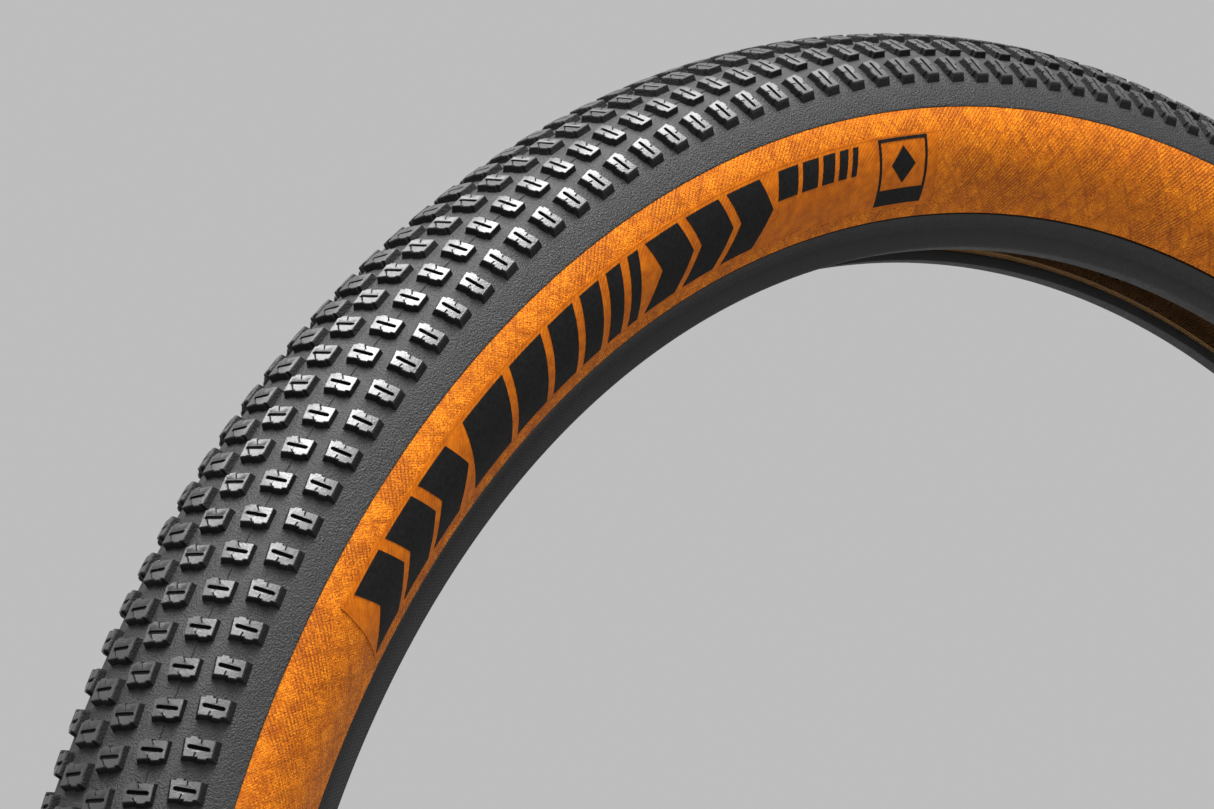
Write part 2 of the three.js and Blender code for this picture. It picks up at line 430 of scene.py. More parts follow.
def capsule(start, end, half_width, steps=4):
    """A closed outline of a line with round ends."""
    start, end = np.array(start), np.array(end)
    heading = math.atan2(*(end - start)[::-1])
    loop = []
    for centre, first in ((start, heading + math.pi / 2), (end, heading - math.pi / 2)):
        for k in range(steps + 1):
            a = first + math.pi * k / steps
            loop.append(centre + half_width * np.array([math.cos(a), math.sin(a)]))
    return np.array(loop)


def outward(points):
    """How each point of a closed outline moves when it grows by one unit."""
    along = np.roll(points, -1, axis=0) - points
    along /= np.linalg.norm(along, axis=1)[:, None]
    normal = np.stack([along[:, 1], -along[:, 0]], axis=1)
    before = np.roll(normal, 1, axis=0)
    total = before + normal
    return total / np.maximum(1 + (before * normal).sum(1), MITRE_LIMIT)[:, None]


class Solid:
    """The points (v, u, h) and faces of one block while it is being made."""

    def __init__(self):
        self.points = []
        self.faces = []

    def loop(self, flat, height):
        first = len(self.points)
        self.points.extend([(p[0], p[1], height) for p in flat])
        return list(range(first, first + len(flat)))

    def join(self, upper, lower):
        for k in range(len(upper)):
            m = (k + 1) % len(upper)
            self.faces.append((upper[k], lower[k], lower[m], upper[m]))

    def cover(self, loop, triangles):
        self.faces.extend([tuple(loop[k] for k in t) for t in triangles])


def block_top(solid, kind, outline):
    """The top and its bevel. Returns the bevel's edge and the rim of a closed slot."""
    top_loop = outline - outward(outline) * EDGE_BEVEL
    slot_top = capsule(*kind.slot, SLOT_HALF_WIDTH + SLOT_BEVEL)
    loops = [top_loop, slot_top] if kind.sipe_meets_slot is None else [top_loop]
    flat, triangles = fill(loops, TOP_SPACING)
    top = solid.loop(flat, BLOCK_HEIGHT)
    solid.cover(top, triangles)
    edge = solid.loop(outline, BLOCK_HEIGHT - EDGE_BEVEL)
    solid.join(top[: len(outline)], edge)
    return edge, top[len(outline) : len(outline) + len(slot_top)]


def sipe_floors(solid, middle, hidden):
    """Closes each sipe below, from one side of its mouth to the other."""
    for first in np.where(hidden & ~np.roll(hidden, 1))[0]:
        stop = first
        while hidden[stop]:
            stop += 1
        floor_loop = middle[first - 1 : stop + 1]
        _, triangles = fill([np.array([solid.points[k][:2] for k in floor_loop])])
        solid.cover(floor_loop, triangles)


def block_walls(solid, kind, outline, hidden, edge):
    """The walls from the top's edge down to a flared foot, and the face under the block."""
    bare = np.where(~hidden)[0]
    wall_out = np.zeros_like(outline)
    wall_out[bare] = outward(outline[bare])

    def at(share, flare=0.0):
        moved = outline + wall_out * (WALL_DRAFT * share + flare)
        moved[:, 0] += kind.lean * share * (outline[:, 0] > OUTER_SIDE)
        return moved

    middle = solid.loop(at(SIPE_DEPTH / BLOCK_HEIGHT), BLOCK_HEIGHT - SIPE_DEPTH)
    solid.join(edge, middle)
    sipe_floors(solid, middle, hidden)
    upper = [middle[k] for k in bare]
    for height, flare in ((FOOT_HEIGHT, 0.0), (-FOOT_DEPTH, FOOT_FLARE)):
        share = min(1.0, (BLOCK_HEIGHT - height) / BLOCK_HEIGHT)
        lower = solid.loop(at(share, flare)[bare], height)
        solid.join(upper, lower)
        upper = lower
    _, triangles = fill([at(1.0, FOOT_FLARE)[bare]])
    solid.cover(upper, [t[::-1] for t in triangles])


def flash_line(solid, start, end):
    """A fine ridge of mould flash lying on the top."""
    start, end = np.array(start), np.array(end)
    along = (end - start) / np.linalg.norm(end - start)
    across = np.array([along[1], -along[0]]) * FLASH_HALF_WIDTH
    low, high = BLOCK_HEIGHT - FLASH_SINK, BLOCK_HEIGHT + FLASH_HEIGHT
    near = solid.loop([start - across, start + across], low) + solid.loop([start], high)
    far = solid.loop([end - across, end + across], low) + solid.loop([end], high)
    solid.faces.extend([tuple(near), tuple(far[::-1])])
    solid.join(near, far)


def slot_well(solid, kind, rim):
    """The closed slot's walls and floor, hung from its rim."""
    for depth, taper in ((SLOT_RIM_DEPTH, 0.0), (SLOT_DEPTH, SLOT_TAPER)):
        lower = solid.loop(capsule(*kind.slot, SLOT_HALF_WIDTH - taper), BLOCK_HEIGHT - depth)
        solid.join(lower, rim)
        rim = lower
    _, triangles = fill([capsule(*kind.slot, SLOT_HALF_WIDTH - SLOT_TAPER)])
    solid.cover(rim, triangles)


def block_template(kind):
    """Points (v, u, h) and faces of one closed block."""
    outline, hidden = block_outline(kind)
    solid = Solid()
    edge, slot_rim = block_top(solid, kind, outline)
    block_walls(solid, kind, outline, hidden, edge)
    for start, end in kind.flash:
        flash_line(solid, start, end)
    if kind.sipe_meets_slot is None:
        slot_well(solid, kind, slot_rim)
    return np.array(solid.points), solid.faces


def facing_out(points, faces):
    """The faces turned so that the solid's volume is positive."""
    volume = 0.0
    for face in faces:
        for k in range(1, len(face) - 1):
            volume += np.dot(points[face[0]], np.cross(points[face[k]], points[face[k + 1]]))
    return faces if volume > 0 else [face[::-1] for face in faces]


# Values of the attribute for wear and painted light: bare tops (worn, with a painted sheen), the
# pebbled ground, and smooth walls (dulled as painted shade).
WORN_AND_SHEEN_TOP, GRAINY_BASE, SHADED_WALL = 1.0, 0.0, -1.0
SHADES = (0.2, 1.0)     # range of the random "shade" attribute of the blocks
UV_PER_DEGREE = 5.0


def row_of_blocks(mesh, kind, row_angle, phase, side, rng):
    """Copies one block all the way round at a row's section angle."""
    flat, faces = block_template(kind)
    v, u, h = flat.T
    turned = side * (row_angle + np.degrees(v / BLOCK_TOP))
    row_radius = SECTION_CENTRE + BLOCK_TOP * math.cos(math.radians(row_angle))
    swing = np.degrees(u / row_radius)
    sample = to_space(swing, TREAD_SURFACE + h, turned)
    faces = facing_out(sample - sample.mean(0), faces)
    uv = np.stack([u, v], axis=1)
    corner_uvs = uv[np.concatenate([np.array(face) for face in faces])]
    # Tops are marked for a lighter colour (wear and a painted sheen); walls are marked for less
    # gloss (painted shade).
    wear_and_painted_light = np.select([h > BLOCK_HEIGHT - 0.5 * EDGE_BEVEL, h > BLOCK_HEIGHT - 1.5 * EDGE_BEVEL],
                     [WORN_AND_SHEEN_TOP, GRAINY_BASE], SHADED_WALL)
    for k in range(BLOCKS_ROUND):
        theta = FIRST_BLOCK - (k + phase) * PITCH
        verts = to_space(theta + swing, TREAD_SURFACE + h, turned)
        moved_uvs = corner_uvs + [theta * UV_PER_DEGREE, 0]
        mesh.add(verts, faces, moved_uvs, rng.uniform(*SHADES), wear_and_painted_light)


# ---- materials ----
class Finish:
    """A principled material and short ways to wire nodes into it."""

    def __init__(self, name):
        self.material = bpy.data.materials.new(name)
        self.material.use_nodes = True
        self.tree = self.material.node_tree
        self.shader = self.tree.nodes["Principled BSDF"]

    def node(self, kind, **settings):
        found = self.tree.nodes.new(kind)
        for key, value in settings.items():
            if key in found.inputs:
                found.inputs[key].default_value = value
            else:
                setattr(found, key, value)
        return found

    def link(self, source, target):
        self.tree.links.new(source, target)

    def math(self, operation, a, b=None, clamp=False):
        found = self.tree.nodes.new("ShaderNodeMath")
        found.operation = operation
        found.use_clamp = clamp
        for socket, value in zip(found.inputs, (a, b)):
            if value is None:
                continue
            if isinstance(value, (int, float)):
                socket.default_value = value
            else:
                self.link(value, socket)
        return found.outputs[0]

    def blend(self, a, share_a, b, share_b):
        parts = self.math("MULTIPLY", a, share_a), self.math("MULTIPLY", b, share_b)
        return self.math("ADD", *parts)

    def place(self):
        return self.node("ShaderNodeTexCoord").outputs["Object"]

    def noise(self, size, detail=3.0, roughness=0.55):
        """Noise over the object, with features about size millimetres across."""
        found = self.node("ShaderNodeTexNoise", Detail=detail, Roughness=roughness)
        found.inputs["Scale"].default_value = 1.0 / (size * MM)
        self.link(self.place(), found.inputs["Vector"])
        return found.outputs["Fac"]

    def cells(self, size):
        """Rounded pebbles about size millimetres across."""
        found = self.node("ShaderNodeTexVoronoi", feature="SMOOTH_F1")
        found.inputs["Scale"].default_value = 1.0 / (size * MM)
        self.link(self.place(), found.inputs["Vector"])
        return found.outputs["Distance"]

    def ramp(self, source, *stops):
        """Colours or greys along a value: stops are (position, colour)."""
        found = self.node("ShaderNodeValToRGB")
        elements = found.color_ramp.elements
        while len(elements) < len(stops):
            elements.new(0.5)
        for element, (position, colour) in zip(elements, stops):
            element.position = position
            if isinstance(colour, (int, float)):
                colour = (colour, colour, colour)
            element.color = (*colour, 1.0)
        self.link(source, found.inputs["Fac"])
        return found.outputs["Color"]

    def mix(self, share, a, b, blend="MIX"):
        found = self.tree.nodes.new("ShaderNodeMix")
        found.data_type = "RGBA"
        found.blend_type = blend
        for socket, value in ((found.inputs[0], share), (found.inputs[6], a), (found.inputs[7], b)):
            if isinstance(value, (int, float)):
                socket.default_value = value
            elif isinstance(value, tuple):
                socket.default_value = (*value, 1.0)
            else:
                self.link(value, socket)
        return found.outputs[2]

    def stripes(self, pitch, turn):
        """Parallel threads over the UV map, 0 between and 1 on the threads."""
        uv = self.node("ShaderNodeUVMap", uv_map="UVMap")
        split = self.node("ShaderNodeSeparateXYZ")
        self.link(uv.outputs[0], split.inputs[0])
        a = math.radians(turn)
        along = self.math("MULTIPLY", split.outputs[0], 2 * math.pi / pitch * math.cos(a))
        across = self.math("MULTIPLY", split.outputs[1], 2 * math.pi / pitch * math.sin(a))
        wave = self.math("SINE", self.math("ADD", along, across))
        return self.math("ADD", self.math("MULTIPLY", wave, 0.5), 0.5)

    def attribute(self, name):
        return self.node("ShaderNodeAttribute", attribute_name=name).outputs["Fac"]

    def bumps(self, *layers):
        """Stacks height maps: each is (height, depth in mm)."""
        normal = None
        for height, depth in layers:
            found = self.node("ShaderNodeBump", Strength=1.0, Distance=depth * MM)
            self.link(height, found.inputs["Height"])
            if normal is not None:
                self.link(normal, found.inputs["Normal"])
            normal = found.outputs[0]
        self.link(normal, self.shader.inputs["Normal"])

    def colour(self, source):
        self.link(source, self.shader.inputs["Base Color"])

    def roughness(self, source):
        self.link(source, self.shader.inputs["Roughness"])

    def set(self, **values):
        for key, value in values.items():
            self.shader.inputs[key.replace("_", " ")].default_value = value


CIRCUMFERENCE = 2 * math.pi * SECTION_CENTRE


def even_pitch(wanted, turn):
    """The pitch nearest to the wanted one that closes round the wheel without a step."""
    length = CIRCUMFERENCE * abs(math.cos(math.radians(turn)))
    return length / round(length / wanted)


WEAR_AND_SHEEN_GAIN = 2.0         # how much lighter a bare top is than the pebbled ground, for wear and a painted sheen
WORN_GLOSS = 0.60
GRAINY_GLOSS = 0.34
WALL_SHADE_DULLNESS = 0.8     # share of the gloss taken from the blocks' walls, so they read dark: painted shade
WORN_SMOOTHNESS = 0.85  # share of the bumps missing from the bare tops


def tread_finish(name, dark, light):
    """Black rubber: pebbled ground, walls given less gloss as painted shade, and smoother block
    tops made lighter for wear and a painted sheen.
    """
    f = Finish(name)
    state = f.attribute("wear_and_painted_light")
    wear_and_painted_light = f.math("MAXIMUM", state, 0.0)
    # Walls lose most of their gloss so they read dark: painted shade.
    on_wall = f.math("MULTIPLY", state, -1.0, clamp=True)
    open_share = f.math("SUBTRACT", 1.0, f.math("MULTIPLY", on_wall, WALL_SHADE_DULLNESS))
    tone = f.blend(f.noise(9.0, detail=4.0), 0.7, f.attribute("shade"), 0.3)
    # The tops' lighter colour stands for wear and a painted sheen.
    rubbed_and_sheen = tuple(min(1.0, value * WEAR_AND_SHEEN_GAIN) for value in light)
    f.colour(f.mix(wear_and_painted_light, f.ramp(tone, (0.25, dark), (0.8, light)),
                   f.ramp(tone, (0.25, light), (0.8, rubbed_and_sheen))))
    fine = f.noise(0.34, detail=5.0, roughness=0.75)
    grainy = f.ramp(fine, (0.3, 0.42), (0.7, 0.66))
    smooth = f.ramp(fine, (0.3, 0.28), (0.7, 0.42))
    f.roughness(f.mix(wear_and_painted_light, grainy, smooth))
    gloss = f.math("MULTIPLY", f.ramp(wear_and_painted_light, (0.0, GRAINY_GLOSS), (1.0, WORN_GLOSS)), open_share)
    f.link(gloss, f.shader.inputs["Specular IOR Level"])
    rough_share = f.math("SUBTRACT", 1.0, f.math("MULTIPLY", wear_and_painted_light, WORN_SMOOTHNESS))
    f.bumps((f.math("MULTIPLY", f.cells(0.46), rough_share), 0.24),
            (f.math("MULTIPLY", fine, rough_share), 0.27))
    return f.material


WEAVE_TURN = 45.0
WEAVE_PITCH = 0.60
STRIP_WEAVE_PITCH = 0.8
CASING_PITCH = 0.7
BELT_PITCH = 1.0
BELT_TURN = 30
BAND_PITCH = 7.0
BAND_TURN = 42.0
THREAD_TURN = -47.0
THREAD_PITCH = 1.05

AMBER_DARK = (0.22, 0.046, 0.0008)
AMBER_MIDDLE = (0.41, 0.106, 0.0016)
AMBER_LIGHT = (0.64, 0.205, 0.004)
AMBER_CLOUD = (0.25, 0.058, 0.001)
AMBER_BAND = (0.17, 0.036, 0.001)
AMBER_HATCH = (0.18, 0.038, 0.001)
AMBER_RIB = (0.14, 0.030, 0.001)
BAND_SHARE = 0.42
SPECKLE_SHARE = 0.64

FILM_DARK = (0.26, 0.058, 0.0010)
FILM_LIGHT = (0.41, 0.106, 0.0015)
FILM_THREAD = (0.15, 0.030, 0.001)
INK_DARK = 0.003
INK_LIGHT = 0.008


def weave(f, pitch, turn=WEAVE_TURN):
    """Two families of cords on the bias, crossing each other."""
    one = f.stripes(even_pitch(pitch, turn), turn)
    two = f.stripes(even_pitch(pitch, turn), -turn)
    return one, two


def amber_finish():
    """Skinwall: speckled amber rubber with the casing's cords showing through it."""
    f = Finish("amber_rubber")
    one, two = weave(f, WEAVE_PITCH)
    ridges = f.stripes(even_pitch(THREAD_PITCH, THREAD_TURN), -THREAD_TURN)
    patch = f.ramp(f.noise(11.0, detail=3.0), (0.46, 0.10), (0.58, 1.0))
    hatch = f.math("MULTIPLY", one, two)
    broken_up = f.ramp(f.noise(0.7, detail=2.0), (0.35, 0.35), (0.55, 1.0))
    ribbed = f.math("MULTIPLY", f.math("MULTIPLY", f.math("SUBTRACT", 1.0, ridges), patch),
                    broken_up)
    wide_one = f.stripes(even_pitch(BAND_PITCH, BAND_TURN), BAND_TURN)
    wide_two = f.stripes(even_pitch(BAND_PITCH, BAND_TURN), -BAND_TURN)
    broken = f.math("MULTIPLY", f.noise(5.0, detail=3.0), 0.35)
    bands = f.math("SUBTRACT", f.math("MAXIMUM", wide_one, wide_two), broken)
    speckle = f.noise(0.42, detail=2.0)
    patchy = f.noise(3.2, detail=5.0, roughness=0.62)
    mottle = f.blend(patchy, 1.0 - SPECKLE_SHARE, speckle, SPECKLE_SHARE)
    cloud = f.noise(26.0, detail=3.0)
    base = f.ramp(mottle, (0.38, AMBER_DARK), (0.5, AMBER_MIDDLE), (0.62, AMBER_LIGHT))
    shaded = f.mix(f.ramp(cloud, (0.35, 0.30), (0.65, 0.0)), base, AMBER_CLOUD)
    banded = f.mix(f.ramp(bands, (0.74, 0.0), (0.84, BAND_SHARE)), shaded, AMBER_BAND)
    hatched = f.mix(f.ramp(hatch, (0.0, 0.26), (0.5, 0.0)), banded, AMBER_HATCH)
    f.colour(f.mix(f.ramp(ribbed, (0.25, 0.0), (0.8, 0.78)), hatched, AMBER_RIB))
    f.roughness(f.ramp(mottle, (0.3, 0.46), (0.7, 0.62)))
    f.bumps((hatch, 0.05), (ridges, 0.06), (speckle, 0.18), (mottle, 0.10))
    f.set(Specular_IOR_Level=0.12)
    return f.material


def label_finish():
    """The label's film: smoother and darker than the amber, with faint threads."""
    f = Finish("label_film")
    threads = f.stripes(even_pitch(THREAD_PITCH, THREAD_TURN), THREAD_TURN)
    patches = f.noise(7.0, detail=3.0)
    mottle = f.noise(2.4, detail=4.0)
    base = f.ramp(mottle, (0.3, FILM_DARK), (0.72, FILM_LIGHT))
    strength = f.math("MULTIPLY", f.ramp(patches, (0.42, 0.0), (0.62, 0.5)), threads)
    f.colour(f.mix(strength, base, FILM_THREAD))
    f.roughness(f.ramp(mottle, (0.3, 0.42), (0.7, 0.56)))
    f.bumps((threads, 0.03), (f.noise(0.6, detail=3.0), 0.015))
    f.set(Specular_IOR_Level=0.12)
    return f.material


def ink_finish():
    """The black print on the label."""
    f = Finish("label_ink")
    mottle = f.noise(1.1, detail=5.0)
    f.colour(f.ramp(mottle, (0.3, INK_DARK), (0.75, INK_LIGHT)))
    f.roughness(f.ramp(f.noise(5.0), (0.3, 0.48), (0.7, 0.62)))
    grain = f.noise(0.4, detail=3.0)
    threads = f.stripes(even_pitch(THREAD_PITCH, THREAD_TURN), THREAD_TURN)
    f.bumps((grain, 0.02), (threads, 0.02))
    f.set(Specular_IOR_Level=0.08)
    return f.material


def cord_finish(name, dark, light, pitch, turn=WEAVE_TURN):
    """Cords of the casing or the belt, crossing on the bias."""
    f = Finish(name)
    one, two = weave(f, pitch, turn)
    cords = f.math("MAXIMUM", one, f.math("MULTIPLY", two, 0.8))
    tone = f.blend(cords, 0.75, f.noise(6.0), 0.3)
    f.colour(f.ramp(tone, (0.2, dark), (0.95, light)))
    f.roughness(f.ramp(f.noise(1.5), (0.3, 0.66), (0.7, 0.85)))
    f.bumps((cords, 0.10), (f.noise(0.3, detail=4.0), 0.03))
    f.set(Specular_IOR_Level=0.3)
    return f.material


def strip_finish():
    """Rubbered black cloth."""
    f = Finish("rim_strip")
    one, two = weave(f, STRIP_WEAVE_PITCH)
    cloth = f.math("MULTIPLY", one, two)
    mottle = f.noise(3.0, detail=4.0)
    tone = f.blend(cloth, 0.5, mottle, 0.5)
    f.colour(f.ramp(tone, (0.15, 0.005), (0.8, 0.018)))
    f.roughness(f.ramp(mottle, (0.3, 0.62), (0.7, 0.82)))
    f.bumps((cloth, 0.08), (f.noise(0.4, detail=4.0), 0.03))
    f.set(Specular_IOR_Level=0.35)
    return f.material


STRAND_PITCH = 2.6
STRAND_TURN = 30


def steel_finish():
    """Brassed steel strands, wound round each other."""
    f = Finish("bead_steel")
    strands = f.stripes(even_pitch(STRAND_PITCH, STRAND_TURN), STRAND_TURN)
    mottle = f.noise(1.2, detail=4.0)
    tone = f.blend(strands, 0.6, mottle, 0.4)
    f.colour(f.ramp(tone, (0.2, (0.20, 0.13, 0.06)), (0.85, (0.62, 0.47, 0.27))))
    f.roughness(f.ramp(mottle, (0.3, 0.28), (0.7, 0.48)))
    f.bumps((strands, 0.12), (mottle, 0.02))
    f.set(Metallic=0.9)
    return f.material


def filler_finish():
    """Hard dark rubber."""
    f = Finish("filler_rubber")
    mottle = f.noise(1.6, detail=5.0)
    f.colour(f.ramp(mottle, (0.3, (0.016, 0.014, 0.012)), (0.7, (0.034, 0.030, 0.026))))
    f.roughness(f.ramp(f.noise(0.6), (0.3, 0.55), (0.7, 0.8)))
    f.bumps((f.cells(0.8), 0.05), (mottle, 0.05))
    return f.material


TREAD = tread_finish("tread_rubber", (0.0055, 0.0055, 0.0057), (0.0125, 0.0125, 0.013))
SHOULDER = tread_finish("shoulder_rubber", (0.0050, 0.0050, 0.0052), (0.0115, 0.0115, 0.012))
AMBER = amber_finish()
LABEL_FILM = label_finish()
INK = ink_finish()
CASING = cord_finish("casing_cord", (0.055, 0.026, 0.010), (0.34, 0.19, 0.075), CASING_PITCH)
BELT_CORD = cord_finish("belt_cord", (0.14, 0.09, 0.02), (0.62, 0.46, 0.14), BELT_PITCH,
                        BELT_TURN)
STRIP = strip_finish()
STEEL = steel_finish()
FILLER = filler_finish()

# ---- the tread ----
# Each row of blocks is (section angle, phase in pitches).
CROWN_ROW = (0.0, 0.30)
INNER_ROW = (18.5, 0.696)
MIDDLE_ROW = (37.0, 0.0)
OUTER_ROW = (55.5, 0.306)
CENTRE_SEED = 11
SHOULDER_SEED = 23

SHOULDER_START = 62.0
SHOULDER_END = 78.0
SHOULDER_DROP = SHOULDER_SURFACE - TREAD_SURFACE
SEAM_PHI = 37.4
SEAM_HEIGHT = 0.24
SEAM_HALF_WIDTH = 0.10
SEAM_CLEARANCE = 0.05   # degrees without other points beside the mould line
COMPOUND_JOINT = 0.03   # mm between the two tread compounds
# The tread's lip: (mm below the shoulder's surface, degrees before the edge).
TREAD_LIP = ((0.02, 0.9), (0.08, 0.3), (0.22, 0.0))


def seam_on(path, phi):
    """A fine mould line standing on an outer arc at one section angle."""
    half = math.degrees(SEAM_HALF_WIDTH / TREAD_SURFACE)
    kept = [p for p in path if abs(angle_of(p) - phi) > half + SEAM_CLEARANCE]
    line = [on_section(TREAD_SURFACE, phi - half), on_section(TREAD_SURFACE + SEAM_HEIGHT, phi),
            on_section(TREAD_SURFACE, phi + half)]
    return sorted(kept + line, key=angle_of)


def angle_of(p):
    """The section angle of a point (r, y)."""
    return math.degrees(math.atan2(p[1], p[0] - SECTION_CENTRE))


def tread_centre():
    rng = np.random.default_rng(CENTRE_SEED)
    mesh = Mesh()
    path = arc(TREAD_SURFACE, -COMPOUND_EDGE, COMPOUND_EDGE)
    inner = arc(TREAD_INSIDE, -COMPOUND_EDGE, COMPOUND_EDGE)
    lathe(mesh, path + inner[::-1])
    row_of_blocks(mesh, CrownBlock, *CROWN_ROW, -1, rng)
    row_of_blocks(mesh, InnerBlock, *INNER_ROW, -1, rng)
    row_of_blocks(mesh, InnerBlock, *INNER_ROW, 1, rng)
    build("tread_centre_blocks", mesh, TREAD, nodes=["tread_centre"])


def shoulder_outline():
    """The shoulder band: its seam, its fall to the lip, and its inner face."""
    joint = COMPOUND_EDGE + math.degrees(COMPOUND_JOINT / TREAD_SURFACE)
    band = seam_on(arc(TREAD_SURFACE, joint, SHOULDER_START), SEAM_PHI)
    fall = [
        on_section(TREAD_SURFACE + SHOULDER_DROP * t * t * (3 - 2 * t),
                   SHOULDER_START + (SHOULDER_END - SHOULDER_START) * t)
        for t in np.linspace(0, 1, 7)[1:]
    ]
    lip = [on_section(SHOULDER_SURFACE - down, TREAD_EDGE - before) for down, before in TREAD_LIP]
    return band + fall + lip + arc(TREAD_INSIDE, joint, TREAD_EDGE)[::-1]


def tread_shoulder(side, name):
    rng = np.random.default_rng(SHOULDER_SEED + side)
    mesh = turned(shoulder_outline(), side)
    row_of_blocks(mesh, Block, *MIDDLE_ROW, side, rng)
    row_of_blocks(mesh, OuterBlock, *OUTER_ROW, side, rng)
    build(f"shoulder_blocks_{name}", mesh, SHOULDER,
          nodes=[f"tread_shoulder_{name}"])


# ---- layers under the tread ----
PLY_STEP = 2.7
INNER_PLY_DROP = 0.8    # mm between the tops of the two plies' straight legs


def outer_ply_path():
    leg = [np.array([BEAD_SHOULDER, OUTER_LEG]), np.array([PLY_FOOT, OUTER_LEG])]
    return mirrored(leg) + arc(PLY_OUTSIDE, -BEAD_TURN, BEAD_TURN, PLY_STEP) + leg


def inner_ply_path():
    leg = [np.array([BEAD_SHOULDER - INNER_PLY_DROP, INNER_LEG]), np.array([PLY_FOOT, INNER_LEG])]
    return mirrored(leg) + arc(INNER_PLY_OUTSIDE, -BEAD_TURN, BEAD_TURN, PLY_STEP) + leg


def hidden_layers():
    belt = lathe(Mesh(), layer(arc(BELT_OUTSIDE, -BELT_EDGE, BELT_EDGE), BELT))
    build("belt", belt, BELT_CORD, nodes=["puncture_belt"])
    outer = lathe(Mesh(), layer(outer_ply_path(), PLY))
    build("outer_ply", outer, CASING, nodes=["casing_ply_outer"])
    inner = lathe(Mesh(), layer(inner_ply_path(), PLY))
    build("inner_ply", inner, CASING, nodes=["casing_ply_inner"])


# ---- sidewall, rim strip, wire and filler ----
PLY_BEND, PLY_SHOULDER = offset(outer_ply_path(), -GAP)[-3:-1]
WALL_START = TREAD_EDGE + 0.15
WALL_END = np.array([RIM_EDGE + 2.85, BEAD_FACE + 4.65])
WALL_TAIL = (0.33, 0.66, 1.0)
STRIP_TOP = np.array([RIM_EDGE + 2.5, BEAD_FACE + 4.1])
STRIP_BEND = np.array([RIM_EDGE + 0.35, BEAD_FACE + 0.8])
STRIP_FACE_TOP = np.array([RIM_EDGE - 0.7, BEAD_FACE])
WALL_ON_PLY = 0.5       # how far down the ply's leg the sidewall and the strip end
STRIP_ON_PLY = 0.56
HEEL_BEVEL = 0.6
TOE_HEIGHT = 3.2
STRIP_ROUNDING = 0.45
WIRE_SIDES = 20
FILLER_TOE = 1.0        # heights of the filler's inner and outer walls
FILLER_HEEL = 2.5
FILLER_ROUNDING = 0.25


def down_the_ply(share):
    """A point between the bend of the ply and the top of its straight leg."""
    return PLY_BEND + (PLY_SHOULDER - PLY_BEND) * share


def wall_path():
    """The sidewall's outer face, from the tread's edge to its end by the bead."""
    bent = arc(WALL_SURFACE, WALL_START, BEAD_TURN)
    return bent + [bent[-1] + (WALL_END - bent[-1]) * t for t in WALL_TAIL]


def strip_outline():
    """The U of rubbered cloth round a bead, closed above against the ply."""
    return rounded([
        STRIP_TOP,
        STRIP_BEND,
        STRIP_FACE_TOP,
        np.array([BEAD_SEAT + HEEL_BEVEL, BEAD_FACE]),
        np.array([BEAD_SEAT, BEAD_FACE - HEEL_BEVEL]),
        np.array([BEAD_SEAT, BEAD_TOE]),
        np.array([BEAD_SEAT + TOE_HEIGHT, BEAD_TOE]),
        np.array([BEAD_SEAT + TOE_HEIGHT, BEAD_TOE + CHAFER]),
        np.array([BEAD_SEAT + CHAFER, BEAD_TOE + CHAFER]),
        np.array([BEAD_SEAT + CHAFER, BEAD_FACE - CHAFER]),
        PLY_SHOULDER,
        down_the_ply(STRIP_ON_PLY),
    ], STRIP_ROUNDING)


def wire_outline():
    return [
        np.array([WIRE_R + BEAD_WIRE * math.cos(a), WIRE_Y + BEAD_WIRE * math.sin(a)])
        for a in np.linspace(0, 2 * math.pi, WIRE_SIDES, endpoint=False)
    ]


def filler_outline():
    """The wedge that stands on the bead wire, between the plies."""
    foot = WIRE_R + BEAD_WIRE + GAP
    return rounded([
        np.array([foot, INNER_LEG + GAP]),
        np.array([foot + FILLER_TOE, INNER_LEG + GAP]),
        np.array([foot + FILLER_HEEL, OUTER_LEG - PLY - GAP]),
        np.array([foot, OUTER_LEG - PLY - GAP]),
    ], FILLER_ROUNDING)


def side_pieces(side, name):
    inner = arc(PLY_OUTSIDE + GAP, WALL_START, BEAD_TURN) + [down_the_ply(WALL_ON_PLY)]
    build(f"amber_wall_{name}", turned(wall_path() + inner[::-1], side), AMBER,
          nodes=[f"sidewall_{name}"])
    build(f"bead_strip_{name}", turned(strip_outline(), side), STRIP,
          nodes=[f"rim_strip_{name}"])
    build(f"wire_bundle_{name}", turned(wire_outline(), side), STEEL,
          nodes=[f"bead_wire_{name}"])
    build(f"filler_wedge_{name}", turned(filler_outline(), side), FILLER,
          nodes=[f"bead_filler_{name}"])


# ---- label and print ----
# The label and the print on it are drawn in (theta, t): t runs down the sidewall in mm
# from the label's upper edge, and the film stands on the sidewall's surface.
LABEL_TOP = 92.0
LABEL_SPAN = (103.0, 150.2)
MM_PER_DEGREE = 5.15
LABEL_DROP = 20.6
BORDER_WIDTH = 0.55
# Heights of the film's layers over the sidewall's surface.
FILM_LOW = 0.02
FILM_HIGH = 0.14
LINE_HIGH = 0.20
INK_LOW = 0.10
INK_HIGH = 0.24


def wall_point(t, proud):
    """(rho, phi) on the sidewall t mm below the label's upper edge."""
    turn = LABEL_TOP + math.degrees(t / WALL_SURFACE)
    if turn <= BEAD_TURN:
        return WALL_SURFACE + proud, turn
    corner = on_section(WALL_SURFACE, BEAD_TURN)
    along = (WALL_END - corner) / np.linalg.norm(WALL_END - corner)
    rest = t - math.radians(BEAD_TURN - LABEL_TOP) * WALL_SURFACE
    normal = np.array([-along[1], along[0]])
    if normal[1] < 0:
        normal = -normal
    p = corner + along * rest + normal * proud
    return float(np.hypot(p[0] - SECTION_CENTRE, p[1])), angle_of(p)


